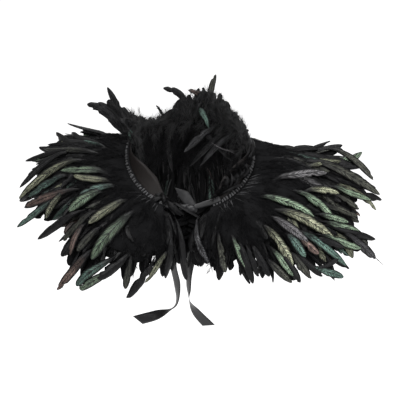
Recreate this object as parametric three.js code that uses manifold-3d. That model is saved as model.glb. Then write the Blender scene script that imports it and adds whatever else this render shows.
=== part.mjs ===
// Feather shawl: a short two-ply cape of feathers and a stand-up feather collar, both sewn to a satin
// neck band that closes in front with a tied ribbon.
// Millimetres, +Z up. The front faces -Y, and left and right are as seen from the front.
// The origin is the middle of the neck opening, level with the band's lower edge at the back.
// Angles round the neck are in degrees: 0 at the front centre, 90 at the right, 180 at the back.

import * as THREE from 'three';
import { mergeVertices } from 'three/addons/utils/BufferGeometryUtils.js';
import Module from 'manifold-3d';

const wasm = await Module();
wasm.setup();

const { Vector3, MathUtils } = THREE;
const { degToRad, lerp, smoothstep } = MathUtils;

// Driving dimensions
const SEAM_GAP = 0.8; // between pieces that are sewn together
const NECK = { halfWidth: 93, halfDepth: 72, frontSlope: 0.86, bendDepth: 27, bendRound: 14 };
const FRONT_OPENING = 22; // degrees from the front centre to each end of the band
const CAPE_OPENING = 13; // the same for the cape's feathers, which run a little past the band
const BAND = { height: 30, endHeight: 12, backHeight: 11, wall: 1.6, frontLean: 32, backLean: 14 };
const BAND_RISE = { from: FRONT_OPENING, to: 52 }; // degrees from the front centre, as in the next two
const BAND_FALL = { from: 64, to: 108 };
const BAND_STRAIGHTENS = { from: 53, to: 90 };
const HEADER = { below: 7.5, above: 8, thickness: 2.4, rib: 1.3, ribs: 60 };
const RIB_STEP = (360 - 2 * FRONT_OPENING) / HEADER.ribs;
const PLY = { rootDrop: 5.6, rootSpacing: 3.8, spacing: 10.4, spread: 0.2 };
const DOWN_PAD = { rootHalf: 1.2, middleHalf: 3.2, edgeHalf: 1, step: 7 };
const LINE_STEPS = 16; // along each feather
const BLADE = { width: 31, thickness: 3, root: 0.16, roll: 5 };
const COLLAR = { strip: 3, foot: 5, firstRib: 13, lastRib: 47, blades: 15, width: 22 };
const LINING = { from: 108, to: 252, blades: 10, width: 28, shortest: 64, longest: 96, lean: 0.06 };
const RIBBON = { width: 16, thickness: 1, sections: 24 };
const KNOT = { x: 2, y: -75, z: -81, radiusX: 9, radiusY: 7.5, radiusZ: 8.5 };

// The cape by section round the neck. Heading is the way that the feathers point in plan. Slope is degrees
// below the horizontal, at the root and at the tip. Length is that of the long ply.
const CAPE_SECTIONS = [
  { angle: 13, heading: -26, rootSlope: 34, tipSlope: 82, length: 98 },
  { angle: 22, heading: -8, rootSlope: 30, tipSlope: 80, length: 108 },
  { angle: 28, heading: 6, rootSlope: 27, tipSlope: 77, length: 116 },
  { angle: 34, heading: 24, rootSlope: 23, tipSlope: 73, length: 130 },
  { angle: 39, heading: 38, rootSlope: 19, tipSlope: 68, length: 150 },
  { angle: 45, heading: 52, rootSlope: 13, tipSlope: 60, length: 188 },
  { angle: 52, heading: 63, rootSlope: 7, tipSlope: 53, length: 216 },
  { angle: 59, heading: 69, rootSlope: 4, tipSlope: 50, length: 218 },
  { angle: 66, heading: 74, rootSlope: 1, tipSlope: 44, length: 240 },
  { angle: 74, heading: 80, rootSlope: 1, tipSlope: 39, length: 214 },
  { angle: 82, heading: 86, rootSlope: 1, tipSlope: 37, length: 196 },
  { angle: 90, heading: 92, rootSlope: 6, tipSlope: 27, length: 214 },
  { angle: 98, heading: 99, rootSlope: 20, tipSlope: 15, length: 214 },
  { angle: 108, heading: 109, rootSlope: 32, tipSlope: -4, length: 184 },
  { angle: 118, heading: 120, rootSlope: 40, tipSlope: 4, length: 164 },
  { angle: 132, heading: 136, rootSlope: 50, tipSlope: 40, length: 160 },
  { angle: 152, heading: 154, rootSlope: 54, tipSlope: 78, length: 172 },
  { angle: 180, heading: 180, rootSlope: 52, tipSlope: 88, length: 186 },
  { angle: 208, heading: 206, rootSlope: 48, tipSlope: 76, length: 170 },
  { angle: 223, heading: 219, rootSlope: 42, tipSlope: 42, length: 150 },
  { angle: 233, heading: 228, rootSlope: 25, tipSlope: 13, length: 142 },
  { angle: 243, heading: 237, rootSlope: 15, tipSlope: 1, length: 146 },
  { angle: 252, heading: 246, rootSlope: 8, tipSlope: 13, length: 160 },
  { angle: 262, heading: 258, rootSlope: 3, tipSlope: 18, length: 170 },
  { angle: 270, heading: 268, rootSlope: 2, tipSlope: 26, length: 178 },
  { angle: 279, heading: 275, rootSlope: 1, tipSlope: 29, length: 182 },
  { angle: 288, heading: 281, rootSlope: 1, tipSlope: 33, length: 192 },
  { angle: 296, heading: 288, rootSlope: 2, tipSlope: 40, length: 158 },
  { angle: 304, heading: 294, rootSlope: 2, tipSlope: 47, length: 160 },
  { angle: 312, heading: 301, rootSlope: 5, tipSlope: 51, length: 194 },
  { angle: 320, heading: 311, rootSlope: 12, tipSlope: 58, length: 190 },
  { angle: 326, heading: 334, rootSlope: 21, tipSlope: 72, length: 156 },
  { angle: 332, heading: 356, rootSlope: 27, tipSlope: 77, length: 114 },
  { angle: 338, heading: 370, rootSlope: 30, tipSlope: 80, length: 100 },
  { angle: 347, heading: 386, rootSlope: 34, tipSlope: 82, length: 98 },
];

// The two plies. Both reaches are shares of the length above, and ragged varies that of the blades.
const UNDER_PLY = { level: 0, blades: 34, reach: 1, padReach: 0.56 };
const OVER_PLY = { level: 1, blades: 31, reach: 0.68, padReach: 0.42 };
UNDER_PLY.ragged = [0, -0.05, 0, -0.08, -0.02];
OVER_PLY.ragged = [0, -0.12, 0.05, -0.06, 0.09, -0.16];

// The collar by section. Flare leans the tips away from the neck, and sweep leans them along the band.
const COLLAR_SECTIONS = [
  { angle: 90, flare: 12, sweep: 6, length: 14 },
  { angle: 110, flare: 0, sweep: 0, length: 20 },
  { angle: 125, flare: 0, sweep: 0, length: 36 },
  { angle: 150, flare: 20, sweep: -6, length: 56 },
  { angle: 168, flare: 30, sweep: -8, length: 62 },
  { angle: 185, flare: 14, sweep: -6, length: 54 },
  { angle: 198, flare: 4, sweep: 6, length: 30 },
  { angle: 212, flare: 0, sweep: 8, length: 12 },
  { angle: 230, flare: 20, sweep: 8, length: 12 },
  { angle: 238, flare: 50, sweep: 6, length: 38 },
  { angle: 246, flare: 70, sweep: 0, length: 84 },
  { angle: 255, flare: 114, sweep: -2, length: 116 },
  { angle: 265, flare: 116, sweep: 0, length: 86 },
  { angle: 272, flare: 80, sweep: 2, length: 52 },
];

// Ribbon routes from the knot down, each turned about its own line: at 0 the ribbon faces the front.
const LEFT_TAIL = [
  { x: -2, y: -74.6, z: -89.9, turn: 0 },
  { x: -7, y: -70, z: -110, turn: 8 },
  { x: -20, y: -67, z: -142, turn: 12 },
  { x: -27, y: -67, z: -172, turn: 28 },
  { x: -20, y: -67, z: -206, turn: 10 },
  { x: -20, y: -67, z: -236, turn: 72 },
  { x: -30, y: -67, z: -250, turn: 100 },
  { x: -54, y: -66, z: -260, turn: 40 },
  { x: -81, y: -66, z: -268, turn: 12 },
];
const RIGHT_TAIL = [
  { x: 4, y: -73.2, z: -89.7, turn: 0 },
  { x: 7, y: -67, z: -110, turn: 0 },
  { x: 4, y: -63, z: -150, turn: 10 },
  { x: 0, y: -63, z: -190, turn: 40 },
  { x: -1, y: -63, z: -216, turn: 58 },
  { x: 0, y: -63, z: -234, turn: 84 },
  { x: 12, y: -63, z: -254, turn: 28 },
  { x: 31, y: -63, z: -272, turn: 6 },
];
const THROAT_LOOP = [
  { x: 2, y: -73, z: -78, turn: 0 },
  { x: -3, y: -69, z: -70, turn: 10 },
  { x: -9, y: -65, z: -62, turn: 16 },
  { x: -13, y: -63, z: -54, turn: 20 },
];
const LEFT_LEAD = { from: 329, to: 359 };
const RIGHT_LEAD = { from: 31, to: 4 };
const LEAD = { low: 1.5, high: 10.5, step: 3 };

const LOOKS = {
  satin: { color: 0x1d1719, roughness: 0.45, metalness: 0 },
  thread: { color: 0x2b2b2d, roughness: 0.6, metalness: 0 },
  blackFeather: { color: 0x0e0e10, roughness: 0.55, metalness: 0 },
  greenFeather: { color: 0x2c3a31, roughness: 0.4, metalness: 0 },
  ribbon: { color: 0x1b1b1d, roughness: 0.4, metalness: 0 },
};

// A table's row at an angle, with every column worked out between the two rows on either side.
function sectionAt(table, angle) {
  const next = Math.min(Math.max(table.findIndex((row) => row.angle >= angle), 1), table.length - 1);
  const [low, high] = [table[next - 1], table[next]];
  const share = MathUtils.clamp((angle - low.angle) / (high.angle - low.angle), 0, 1);
  return Object.fromEntries(Object.keys(low).map((key) => [key, lerp(low[key], high[key], share)]));
}

// How much of a stretch lies behind, going back from the front centre on either side.
function passed(angle, { from, to }) {
  return smoothstep(Math.min(angle, 360 - angle), from, to);
}

// How far the neckline has dropped at a depth behind the neck's middle: level behind, then down over the
// chest, with a soft bend between the two.
function neckDrop(depth) {
  const ahead = NECK.bendDepth - depth;
  return (NECK.frontSlope / 2) * (ahead + Math.hypot(ahead, NECK.bendRound));
}

// The neckline, which is the lower edge of the band: an oval in plan.
function neckPoint(angle) {
  const a = degToRad(angle);
  const depth = -NECK.halfDepth * Math.cos(a);
  return new Vector3(NECK.halfWidth * Math.sin(a), depth, neckDrop(NECK.halfDepth) - neckDrop(depth));
}

// The neckline's own directions: along the band, up its leaning wall, and out from the wall's face.
function neckFrame(angle) {
  const a = degToRad(angle);
  const point = neckPoint(angle);
  const out = new Vector3(NECK.halfDepth * Math.sin(a), -NECK.halfWidth * Math.cos(a), 0).normalize();
  const along = neckPoint(angle + 1).sub(neckPoint(angle - 1)).normalize();
  const up = new Vector3().crossVectors(out, along).normalize();
  const lean = lerp(BAND.frontLean, BAND.backLean, passed(angle, BAND_STRAIGHTENS));
  const wall = up.clone().applyAxisAngle(along, degToRad(-lean));
  const face = new Vector3().crossVectors(along, wall).normalize();
  return { point, along, wall, face };
}

// A point that lies so far out from the band's inner face and so far up its wall.
function onBand(frame, outward, upward) {
  return frame.point.clone().addScaledVector(frame.face, outward).addScaledVector(frame.wall, upward);
}

// The band is highest at both sides of the front. It is lower at its ends and behind.
function bandHeight(angle) {
  const front = lerp(BAND.endHeight, BAND.height, passed(angle, BAND_RISE));
  return lerp(front, BAND.backHeight, passed(angle, BAND_FALL));
}

function anglesBetween(from, to, step) {
  const count = Math.round(Math.abs(to - from) / step);
  return Array.from({ length: count + 1 }, (_, i) => lerp(from, to, i / count));
}

// A closed solid through rings of equally many points, capped at both ends.
function loft(rings) {
  const sides = rings[0].length;
  const index = [];
  for (let r = 0; r + 1 < rings.length; r++) {
    for (let i = 0; i < sides; i++) {
      const [a, b] = [r * sides + i, r * sides + ((i + 1) % sides)];
      index.push(a, b, b + sides, a, b + sides, a + sides);
    }
  }
  const last = (rings.length - 1) * sides;
  for (let i = 1; i + 1 < sides; i++) {
    index.push(0, i + 1, i, last, last + i, last + i + 1);
  }
  const solid = solidOf(new THREE.BufferGeometry().setFromPoints(rings.flat()).setIndex(index));
  if (solid.volume() > 0) return solid;
  return solidOf(new THREE.BufferGeometry().setFromPoints(rings.flat()).setIndex(index.reverse()));
}

function solidOf(geometry) {
  const vertProperties = new Float32Array(geometry.getAttribute('position').array);
  const triVerts = new Uint32Array(geometry.getIndex().array);
  return new wasm.Manifold(new wasm.Mesh({ numProp: 3, vertProperties, triVerts }));
}

// One solid from many, with any pocket that the joins close in filled.
function fuse(solids) {
  const whole = solids.reduce((sum, next) => sum.add(next));
  return wasm.Manifold.compose(whole.decompose().filter((shell) => shell.volume() > 0));
}

function meshOf(name, solid, look) {
  const { vertProperties, triVerts } = solid.getMesh();
  const geometry = new THREE.BufferGeometry();
  geometry.setAttribute('position', new THREE.BufferAttribute(vertProperties, 3));
  geometry.setIndex(new THREE.BufferAttribute(triVerts, 1));
  geometry.computeVertexNormals();
  const mesh = new THREE.Mesh(geometry, new THREE.MeshStandardMaterial(look));
  mesh.name = name;
  return mesh;
}

// The standing satin wall round the neck.
function neckBand() {
  const rings = anglesBetween(FRONT_OPENING, 360 - FRONT_OPENING, RIB_STEP).map((angle) => {
    const frame = neckFrame(angle);
    const top = bandHeight(angle);
    return [
      onBand(frame, 0, 0),
      onBand(frame, 0, top),
      onBand(frame, BAND.wall, top),
      onBand(frame, BAND.wall, 0),
    ];
  });
  return loft(rings);
}

// The strip of bound quill ends outside the band, ribbed where it shows above the feathers.
function quillHeader() {
  const inner = BAND.wall + SEAM_GAP;
  const outer = inner + HEADER.thickness;
  const rings = anglesBetween(FRONT_OPENING, 360 - FRONT_OPENING, RIB_STEP / 2).map((angle, i) => {
    const frame = neckFrame(angle);
    const rib = i % 2 ? HEADER.rib : 0;
    return [
      onBand(frame, inner, -HEADER.below),
      onBand(frame, inner, HEADER.above),
      onBand(frame, outer + rib, HEADER.above),
      onBand(frame, outer, -HEADER.below),
    ];
  });
  return loft(rings);
}

// The line of a long-ply feather from root to tip, as points at equal steps of its length.
function capeLine(angle) {
  const { heading, rootSlope, tipSlope, length } = sectionAt(CAPE_SECTIONS, angle);
  const turn = degToRad(heading);
  const frame = neckFrame(angle);
  const root = BAND.wall + HEADER.thickness + 2 * SEAM_GAP + DOWN_PAD.rootHalf;
  const points = [onBand(frame, root, -PLY.rootDrop)];
  for (let i = 0; i < LINE_STEPS; i++) {
    const slope = degToRad(lerp(rootSlope, tipSlope, 1 - (1 - (i + 0.5) / LINE_STEPS) ** 2));
    const step = new Vector3(Math.sin(turn), -Math.cos(turn), 0).multiplyScalar(Math.cos(slope));
    step.z = -Math.sin(slope);
    points.push(points[i].clone().addScaledVector(step, length / LINE_STEPS));
  }
  return new THREE.CatmullRomCurve3(points);
}

// A feather's place on its ply by share of length, with directions that follow the ply's own surface.
function capeRun(angle, level) {
  const [line, before, after] = [capeLine(angle), capeLine(angle - 3), capeLine(angle + 3)];
  return (t) => {
    const along = line.getTangent(t);
    const across = after.getPoint(t).sub(before.getPoint(t));
    const normal = new Vector3().crossVectors(along, across).normalize();
    const side = new Vector3().crossVectors(normal, along);
    const lift = level * lerp(PLY.rootSpacing, PLY.spacing, smoothstep(t, 0, PLY.spread));
    return { point: line.getPoint(t).addScaledVector(normal, lift), along, side, normal };
  };
}

// The downy root of a ply: a soft ring, thickest at its middle.
function downPad({ level, padReach }) {
  const profile = [
    { t: 0, half: DOWN_PAD.rootHalf },
    { t: padReach / 2, half: DOWN_PAD.middleHalf },
    { t: padReach, half: DOWN_PAD.edgeHalf },
  ];
  const rings = anglesBetween(CAPE_OPENING, 360 - CAPE_OPENING, DOWN_PAD.step).map((angle) => {
    const run = capeRun(angle, level);
    const onSide = (sign) => ({ t, half }) => {
      const { point, normal } = run(t);
      return point.addScaledVector(normal, sign * half);
    };
    return [...profile.map(onSide(1)), ...profile.map(onSide(-1)).reverse()];
  });
  return loft(rings);
}

// One lock of feathers: a flat blade with a raised shaft line, narrow at the root and round at the tip.
function blade(run, from, to, width, thickness, roll) {
  const outline = [
    { share: 0, wide: 0.3, thick: 0.8 },
    { share: 0.3, wide: 0.72, thick: 1 },
    { share: 0.62, wide: 1, thick: 1 },
    { share: 0.86, wide: 0.74, thick: 0.8 },
    { share: 1, wide: 0.08, thick: 0.2 },
  ];
  const rings = outline.map(({ share, wide, thick }) => {
    const { point, along, side, normal } = run(lerp(from, to, share));
    const across = side.applyAxisAngle(along, degToRad(roll)).multiplyScalar((width * wide) / 2);
    const through = normal.applyAxisAngle(along, degToRad(roll)).multiplyScalar((thickness * thick) / 2);
    return [
      point.clone().add(across),
      point.clone().add(through),
      point.clone().sub(across),
      point.clone().sub(through),
    ];
  });
  return loft(rings);
}

// One ply of the cape: blades of uneven length that grow out of the downy ring.
function capeFringe(ply) {
  const pitch = (360 - 2 * CAPE_OPENING) / ply.blades;
  const blades = Array.from({ length: ply.blades }, (_, i) => {
    const angle = CAPE_OPENING + (i + 0.5) * pitch;
    const reach = Math.min(1, ply.reach * (1 + ply.ragged[i % ply.ragged.length]));
    const roll = i % 2 ? BLADE.roll : -BLADE.roll;
    return blade(capeRun(angle, ply.level), BLADE.root, reach, BLADE.width, BLADE.thickness, roll);
  });
  return fuse([downPad(ply), ...blades]);
}

// The line of a collar feather: up the inside of the band, then bending out over its edge.
function collarRun(angle) {
  const { flare, sweep, length } = sectionAt(COLLAR_SECTIONS, angle);
  const frame = neckFrame(angle);
  const points = [onBand(frame, -SEAM_GAP - COLLAR.strip, COLLAR.foot + COLLAR.strip)];
  for (let i = 0; i < LINE_STEPS; i++) {
    const t = (i + 0.5) / LINE_STEPS;
    const lean = degToRad(flare * smoothstep(t * length, bandHeight(angle) - COLLAR.foot, 0.95 * length));
    const step = frame.wall.clone().multiplyScalar(Math.cos(lean));
    step.addScaledVector(frame.face, Math.sin(lean));
    step.addScaledVector(frame.along, Math.tan(degToRad(sweep)) * t).normalize();
    points.push(points[i].clone().addScaledVector(step, length / LINE_STEPS));
  }
  return runAlong(points, frame);
}

// The line of a lining feather: down from the strip, a little in from the band.
function liningRun(angle, length) {
  const frame = neckFrame(angle);
  const points = [onBand(frame, -SEAM_GAP - COLLAR.strip / 2, COLLAR.foot + COLLAR.strip)];
  const inward = frame.face.clone().setZ(0).normalize().multiplyScalar(-LINING.lean);
  const step = new Vector3(0, 0, -1).add(inward).multiplyScalar(length / LINE_STEPS);
  for (let i = 0; i < LINE_STEPS; i++) {
    points.push(points[i].clone().add(step));
  }
  return runAlong(points, frame);
}

// A feather's place by share of length along its points, with directions that follow the band beside it.
function runAlong(points, frame) {
  const line = new THREE.CatmullRomCurve3(points);
  return (t) => {
    const along = line.getTangent(t);
    const normal = new Vector3().crossVectors(frame.along, along).normalize();
    return { point: line.getPoint(t), along, side: new Vector3().crossVectors(along, normal), normal };
  };
}

// The collar: a strip on the band's inner face, with blades that stand up from it and others that line
// the neck behind.
function collarFringe() {
  const from = FRONT_OPENING + COLLAR.firstRib * RIB_STEP;
  const to = FRONT_OPENING + COLLAR.lastRib * RIB_STEP;
  const rings = anglesBetween(from, to, RIB_STEP).map((angle) => {
    const frame = neckFrame(angle);
    const top = bandHeight(angle) - 2;
    return [
      onBand(frame, -SEAM_GAP, COLLAR.foot),
      onBand(frame, -SEAM_GAP, top),
      onBand(frame, -SEAM_GAP - COLLAR.strip, top),
      onBand(frame, -SEAM_GAP - COLLAR.strip, COLLAR.foot),
    ];
  });
  const pitch = (to - from) / COLLAR.blades;
  const blades = anglesBetween(from + RIB_STEP / 2, to - RIB_STEP / 2, pitch).map((angle) =>
    blade(collarRun(angle), 0, 1, COLLAR.width, BLADE.thickness, 0),
  );
  const linings = Array.from({ length: LINING.blades }, (_, i) => {
    const angle = lerp(LINING.from, LINING.to, i / (LINING.blades - 1));
    const length = i % 2 ? LINING.shortest : LINING.longest;
    return blade(liningRun(angle, length), 0, 1, LINING.width, BLADE.thickness, 0);
  });
  return fuse([loft(rings), ...blades, ...linings]);
}

// A ribbon along a route, with its face turned as the route says.
function ribbonAlong(route) {
  const line = new THREE.CatmullRomCurve3(route.map(({ x, y, z }) => new Vector3(x, y, z)));
  const rings = Array.from({ length: RIBBON.sections + 1 }, (_, i) => {
    const t = i / RIBBON.sections;
    const place = t * (route.length - 1);
    const whole = Math.min(Math.floor(place), route.length - 2);
    const turn = degToRad(lerp(route[whole].turn, route[whole + 1].turn, place - whole));
    const along = line.getTangent(t);
    const across = new Vector3(0, -1, 0).cross(along).normalize().applyAxisAngle(along, turn);
    const through = new Vector3().crossVectors(along, across);
    const corner = (w, h) =>
      line.getPoint(t)
        .addScaledVector(across, (w * RIBBON.width) / 2)
        .addScaledVector(through, (h * RIBBON.thickness) / 2);
    return [corner(1, 1), corner(-1, 1), corner(-1, -1), corner(1, -1)];
  });
  return loft(rings);
}

// A ribbon lead that lies on the header from its sewn end to the knot.
function ribbonLead({ from, to }) {
  const inner = BAND.wall + HEADER.thickness + HEADER.rib + 2 * SEAM_GAP;
  const rings = anglesBetween(from, to, LEAD.step).map((angle) => {
    const frame = neckFrame(angle);
    return [
      onBand(frame, inner, LEAD.low),
      onBand(frame, inner, LEAD.high),
      onBand(frame, inner + RIBBON.thickness, LEAD.high),
      onBand(frame, inner + RIBBON.thickness, LEAD.low),
    ];
  });
  return loft(rings);
}

// The knot: a round bundle of ribbon with the two leads and the short loop above it.
function ribbonTie() {
  const ball = new THREE.SphereGeometry(1, 12, 8);
  ball.deleteAttribute('normal').deleteAttribute('uv');
  ball.scale(KNOT.radiusX, KNOT.radiusY, KNOT.radiusZ).translate(KNOT.x, KNOT.y, KNOT.z);
  return fuse([
    solidOf(mergeVertices(ball)),
    ribbonLead(LEFT_LEAD),
    ribbonLead(RIGHT_LEAD),
    ribbonAlong(THROAT_LOOP),
  ]);
}

const neck = new THREE.Group();
neck.add(
  meshOf('neck_band', neckBand(), LOOKS.satin),
  meshOf('quill_header', quillHeader(), LOOKS.thread),
);

const feathers = new THREE.Group();
feathers.add(
  meshOf('under_fringe', capeFringe(UNDER_PLY), LOOKS.greenFeather),
  meshOf('over_fringe', capeFringe(OVER_PLY), LOOKS.greenFeather),
  meshOf('collar_fringe', collarFringe(), LOOKS.blackFeather),
);

const tie = new THREE.Group();
tie.add(
  meshOf('ribbon_tie', ribbonTie(), LOOKS.ribbon),
  meshOf('ribbon_tail_left', ribbonAlong(LEFT_TAIL), LOOKS.ribbon),
  meshOf('ribbon_tail_right', ribbonAlong(RIGHT_TAIL), LOOKS.ribbon),
);

const shawl = new THREE.Group();
shawl.add(neck, feathers, tie);

export default shawl;
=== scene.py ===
import math

import bpy
import numpy as np
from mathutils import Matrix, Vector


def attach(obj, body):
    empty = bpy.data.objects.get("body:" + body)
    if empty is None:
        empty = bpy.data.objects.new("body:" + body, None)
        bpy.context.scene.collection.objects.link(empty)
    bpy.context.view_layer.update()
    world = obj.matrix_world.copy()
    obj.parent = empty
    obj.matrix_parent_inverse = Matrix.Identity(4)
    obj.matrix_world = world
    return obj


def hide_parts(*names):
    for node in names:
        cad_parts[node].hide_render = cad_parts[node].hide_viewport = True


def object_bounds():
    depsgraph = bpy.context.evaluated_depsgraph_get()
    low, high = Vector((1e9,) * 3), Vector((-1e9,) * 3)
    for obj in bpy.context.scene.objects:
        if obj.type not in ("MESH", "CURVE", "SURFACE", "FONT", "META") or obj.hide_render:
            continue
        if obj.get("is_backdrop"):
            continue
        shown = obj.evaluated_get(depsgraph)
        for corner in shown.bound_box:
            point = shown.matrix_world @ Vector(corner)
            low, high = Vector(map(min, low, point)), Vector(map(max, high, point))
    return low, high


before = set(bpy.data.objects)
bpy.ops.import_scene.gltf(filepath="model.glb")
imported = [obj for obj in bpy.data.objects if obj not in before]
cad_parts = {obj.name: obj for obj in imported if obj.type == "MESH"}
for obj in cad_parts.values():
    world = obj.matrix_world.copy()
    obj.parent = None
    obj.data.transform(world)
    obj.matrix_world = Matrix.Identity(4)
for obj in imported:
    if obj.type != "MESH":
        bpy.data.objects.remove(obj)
cad_low, cad_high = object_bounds()
scene = bpy.context.scene

MM = 0.001
rng = np.random.default_rng(7302)


def columns(names, table):
    """A table with named columns as one array per column."""
    return dict(zip(names.split(), np.array(table, float).T))


# Sizes shared with the frame
HALF_WIDTH, HALF_DEPTH = 93 * MM, 72 * MM
NECK_SLOPE, NECK_BEND_DEPTH, NECK_BEND_ROUND = 0.86, 27 * MM, 14 * MM
FRONT_OPENING = 22
BAND_HEIGHT, BAND_END_HEIGHT, BAND_BACK_HEIGHT, BAND_WALL = 30 * MM, 12 * MM, 11 * MM, 1.6 * MM
BAND_FRONT_LEAN, BAND_BACK_LEAN = 32, 14
HEADER_OUTER = 4.8 * MM
HEADER_BELOW, HEADER_TOP = 7.5 * MM, 4.5 * MM
WRAP_STEP, WRAP_LENGTH = 2.9, 11 * MM
CAPE_ROOT_OUT, CAPE_ROOT_DROP = 6.8 * MM, 5.6 * MM
PLY_ROOT_SPACING, PLY_SPACING, PLY_SPREAD = 3.8 * MM, 10.4 * MM, 0.2
COLLAR_ROOT_OUT, COLLAR_ROOT_UP, COLLAR_FOOT = -3.8 * MM, 8 * MM, 5 * MM
RIBBON_WIDTH, RIBBON_THICKNESS = 16 * MM, 0.5 * MM

# Where the cape's feathers end in front, with the down and its bed further back, the tilt of feathers that
# overlap, and how far a placed feather may leave the cape's surface
RIGHT_EDGE, LEFT_EDGE, DOWN_RIGHT, DOWN_LEFT, BED_RIGHT, BED_LEFT = 12, 342, 16, 338, 18, 336
SHINGLE_TILT, REACH_LIMIT = 30, 24 * MM

# The photo's view: its elevation, the pixel at which it shows the frame's origin, and metres to a pixel
VIEW_ELEVATION = math.radians(20)
VIEW_COS, VIEW_SIN = math.cos(VIEW_ELEVATION), math.sin(VIEW_ELEVATION)
PHOTO_CENTRE_X, PHOTO_CENTRE_Y, PHOTO_SCALE = 190, 143, 1.55 * MM

# The cape by section: the feathers' heading in plan, their slope below the horizontal at root and tip,
# and their length.
CAPE = columns("angle heading root_slope tip_slope length", [
    (13, -26, 34, 82, 98), (22, -8, 30, 80, 108), (28, 6, 27, 77, 116), (34, 24, 23, 73, 130),
    (39, 38, 19, 68, 150), (45, 52, 13, 60, 188), (52, 63, 7, 53, 216), (59, 69, 4, 50, 218),
    (66, 74, 1, 44, 240), (74, 80, 1, 39, 214), (82, 86, 1, 37, 196), (90, 92, 6, 27, 214),
    (98, 99, 20, 15, 214), (108, 109, 32, -4, 184), (118, 120, 40, 4, 164), (132, 136, 50, 40, 160),
    (152, 154, 54, 78, 172), (180, 180, 52, 88, 186), (208, 206, 48, 76, 170), (223, 219, 42, 42, 150),
    (233, 228, 25, 13, 142), (243, 237, 15, 1, 146), (252, 246, 8, 13, 160), (262, 258, 3, 18, 170),
    (270, 268, 2, 26, 178), (279, 275, 1, 29, 182), (288, 281, 1, 33, 192), (296, 288, 2, 40, 158),
    (304, 294, 2, 47, 160), (312, 301, 5, 51, 194), (320, 311, 12, 58, 190), (326, 334, 21, 72, 156),
    (332, 356, 27, 77, 114), (338, 370, 30, 80, 100), (347, 386, 34, 82, 98),
])

# The collar by section: how far the tips flare from the neck and sweep along the band, and length.
COLLAR = columns("angle flare sweep length", [
    (90, 12, 6, 14), (110, 0, 0, 20), (125, 0, 0, 36), (150, 20, -6, 56), (168, 30, -8, 62),
    (185, 14, -6, 54), (198, 4, 6, 30), (212, 0, 8, 12), (230, 20, 8, 12), (238, 50, 6, 38),
    (246, 70, 0, 84), (255, 114, -2, 116), (265, 116, 0, 86), (272, 80, 2, 52),
])

# The cape's layers of feathers, from the long ones below to the short ones on top: how many, reach as a
# share of the length, lift, share of the usual width, least half width, and 1 for coloured ones. The plain
# wide ones close gaps.
UNDER_LAYERS = [
    (64, 0.91, -2.4, 1.5, 12, 0), (70, 0.98, 0, 1, 3, 1), (68, 0.92, 1.6, 1, 3, 1),
    (66, 0.86, 3.2, 1.1, 3, 1),
]
OVER_LAYERS = [
    (60, 0.7, 4.2, 1.5, 10, 0), (62, 0.79, 5, 1, 3, 1), (60, 0.71, 7, 1.1, 3, 1), (58, 0.63, 9, 1.1, 3, 1),
    (54, 0.55, 11, 1.1, 3, 1),
]

# Feather colours, and how often each one comes among the loose feathers
OLIVE, GREEN, TEAL, BRONZE, MAUVE, DARK, GREY, BLACK = range(8)
COLOURS = np.array([
    (0.26, 0.27, 0.185), (0.165, 0.225, 0.155), (0.1, 0.165, 0.138), (0.15, 0.105, 0.09),
    (0.14, 0.135, 0.14), (0.058, 0.06, 0.048), (0.046, 0.046, 0.049), (0.006, 0.006, 0.0065),
])
COLOUR_SHARES = (0.17, 0.25, 0.16, 0.09, 0.1, 0.23, 0, 0)

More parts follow.
